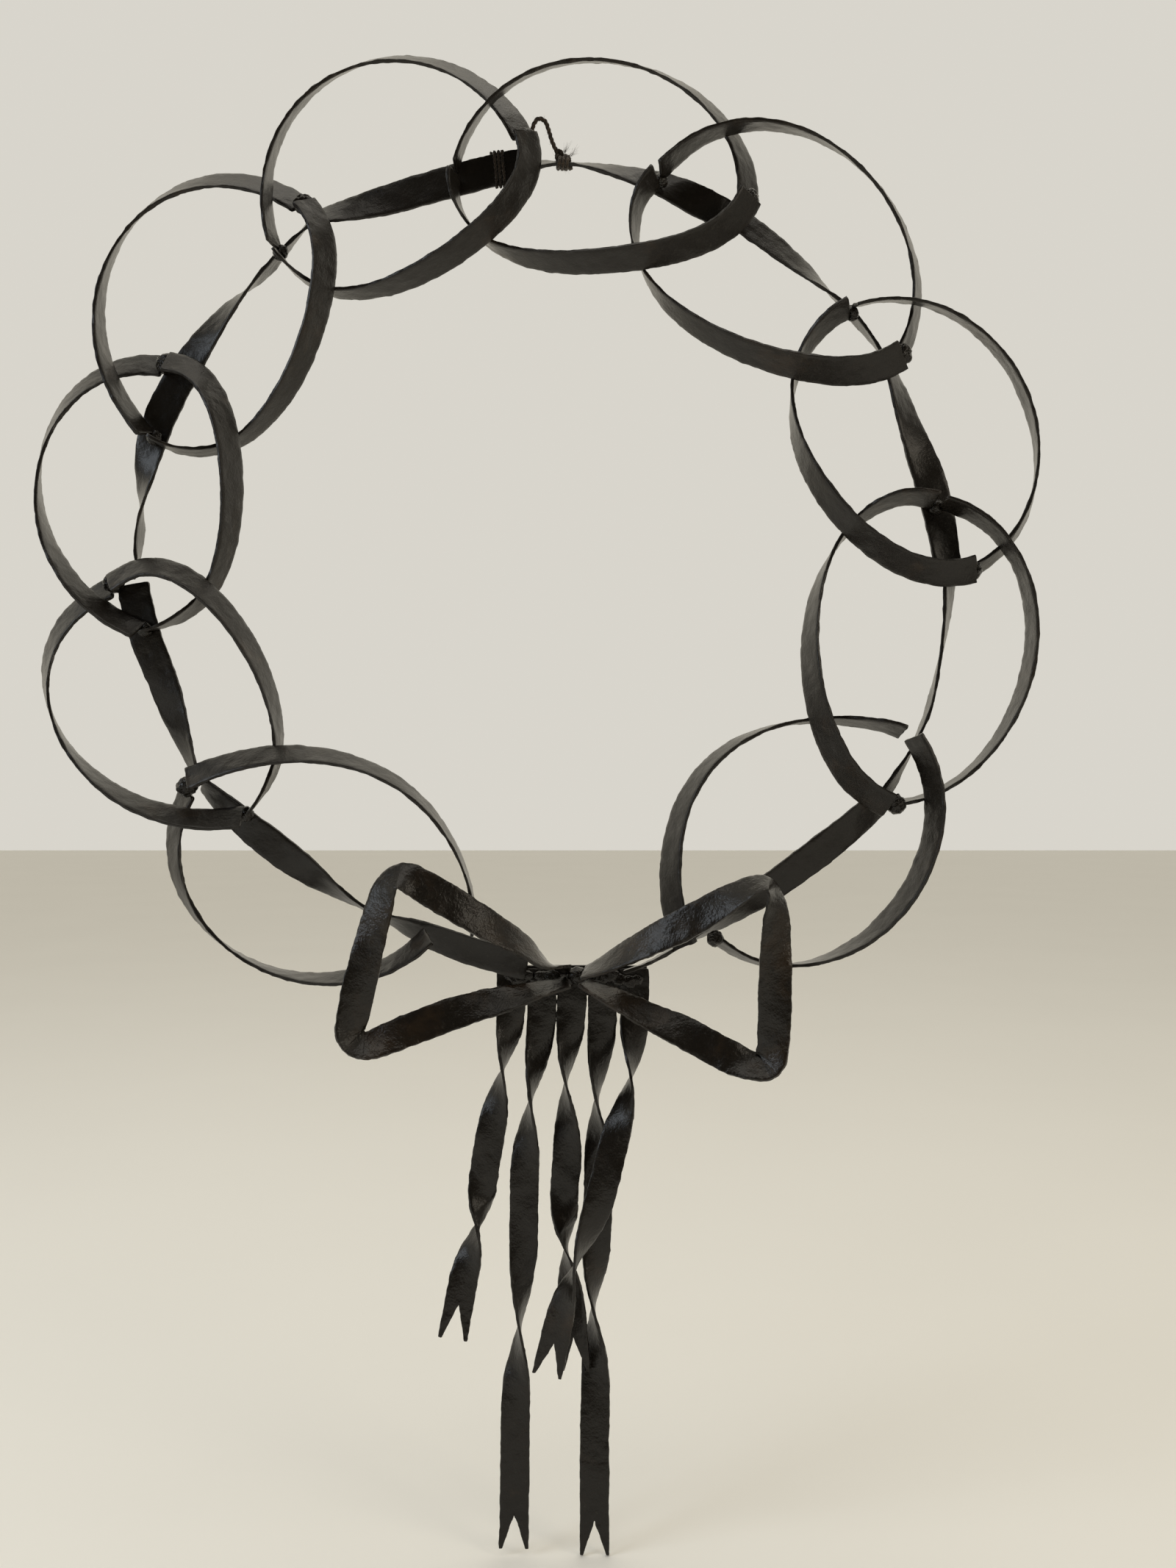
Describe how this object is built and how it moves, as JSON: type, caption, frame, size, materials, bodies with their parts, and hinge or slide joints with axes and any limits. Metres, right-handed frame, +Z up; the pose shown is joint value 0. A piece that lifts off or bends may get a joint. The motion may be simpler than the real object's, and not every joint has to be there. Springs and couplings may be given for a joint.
{
  "type": "door wreath",
  "caption": "Welded flat-strap iron door wreath: interlinked hoops on a twisted backbone, with a bow, twisted swallow-tail ends and a twine hanging loop.",
  "frame": {"origin": "point inside the top of the twine loop that the wreath hangs from", "axes": "+Z up, -Y towards the viewer, +X to the viewer's right"},
  "size_m": [0.6061, 0.063, 0.9005],
  "materials": {
    "hoop_paint": "semi-gloss dark bronze paint over hammered strap",
    "backbone_paint": "semi-gloss dark bronze paint over hammered strap",
    "bow_paint": "semi-gloss dark bronze paint with an orange-peel texture",
    "tail_paint": "semi-gloss dark bronze paint with an orange-peel texture",
    "bar_paint": "semi-gloss dark paint, rough",
    "weld_paint": "glossy dark paint over lumpy weld",
    "twine": "matt, fuzzy brown twine"
  },
  "bodies": {
    "root": {"backbone_01": "backbone_paint", "backbone_02": "backbone_paint", "backbone_03": "backbone_paint", "backbone_04": "backbone_paint", "backbone_05": "backbone_paint", "backbone_06": "backbone_paint", "backbone_07": "backbone_paint", "backbone_08": "backbone_paint", "backbone_09": "backbone_paint", "backbone_10": "backbone_paint", "bow_left_loop": "bow_paint", "bow_right_loop": "bow_paint", "bow_weld": "weld_paint", "cord_knot": "twine", "cord_wrapping": "twine", "cross_bar": "bar_paint", "hanging_cord": "twine", "hoop_01_inner": "hoop_paint", "hoop_01_outer": "hoop_paint", "hoop_02_inner": "hoop_paint", "hoop_02_outer": "hoop_paint", "hoop_03_inner": "hoop_paint", "hoop_03_outer": "hoop_paint", "hoop_04_inner": "hoop_paint", "hoop_04_outer": "hoop_paint", "hoop_05_inner": "hoop_paint", "hoop_05_outer": "hoop_paint", "hoop_06_inner": "hoop_paint", "hoop_06_outer": "hoop_paint", "hoop_07_inner": "hoop_paint", "hoop_07_outer": "hoop_paint", "hoop_08_inner": "hoop_paint", "hoop_08_outer": "hoop_paint", "hoop_09_inner": "hoop_paint", "hoop_09_outer": "hoop_paint", "hoop_10_inner": "hoop_paint", "hoop_10_outer": "hoop_paint", "tail_01": "tail_paint", "tail_02": "tail_paint", "tail_03": "tail_paint", "tail_04": "tail_paint", "tail_05": "tail_paint", "tail_weld": "weld_paint", "weld_01_end": "weld_paint", "weld_01_start": "weld_paint", "weld_02_end": "weld_paint", "weld_03_end": "weld_paint", "weld_03_start": "weld_paint", "weld_04_end": "weld_paint", "weld_04_start": "weld_paint", "weld_05_end": "weld_paint", "weld_05_start": "weld_paint", "weld_06_end": "weld_paint", "weld_07_end": "weld_paint", "weld_08_end": "weld_paint", "weld_08_start": "weld_paint", "weld_09_end": "weld_paint", "weld_09_start": "weld_paint", "weld_10_end": "weld_paint", "weld_10_start": "weld_paint"}
  },
  "joints": []
}
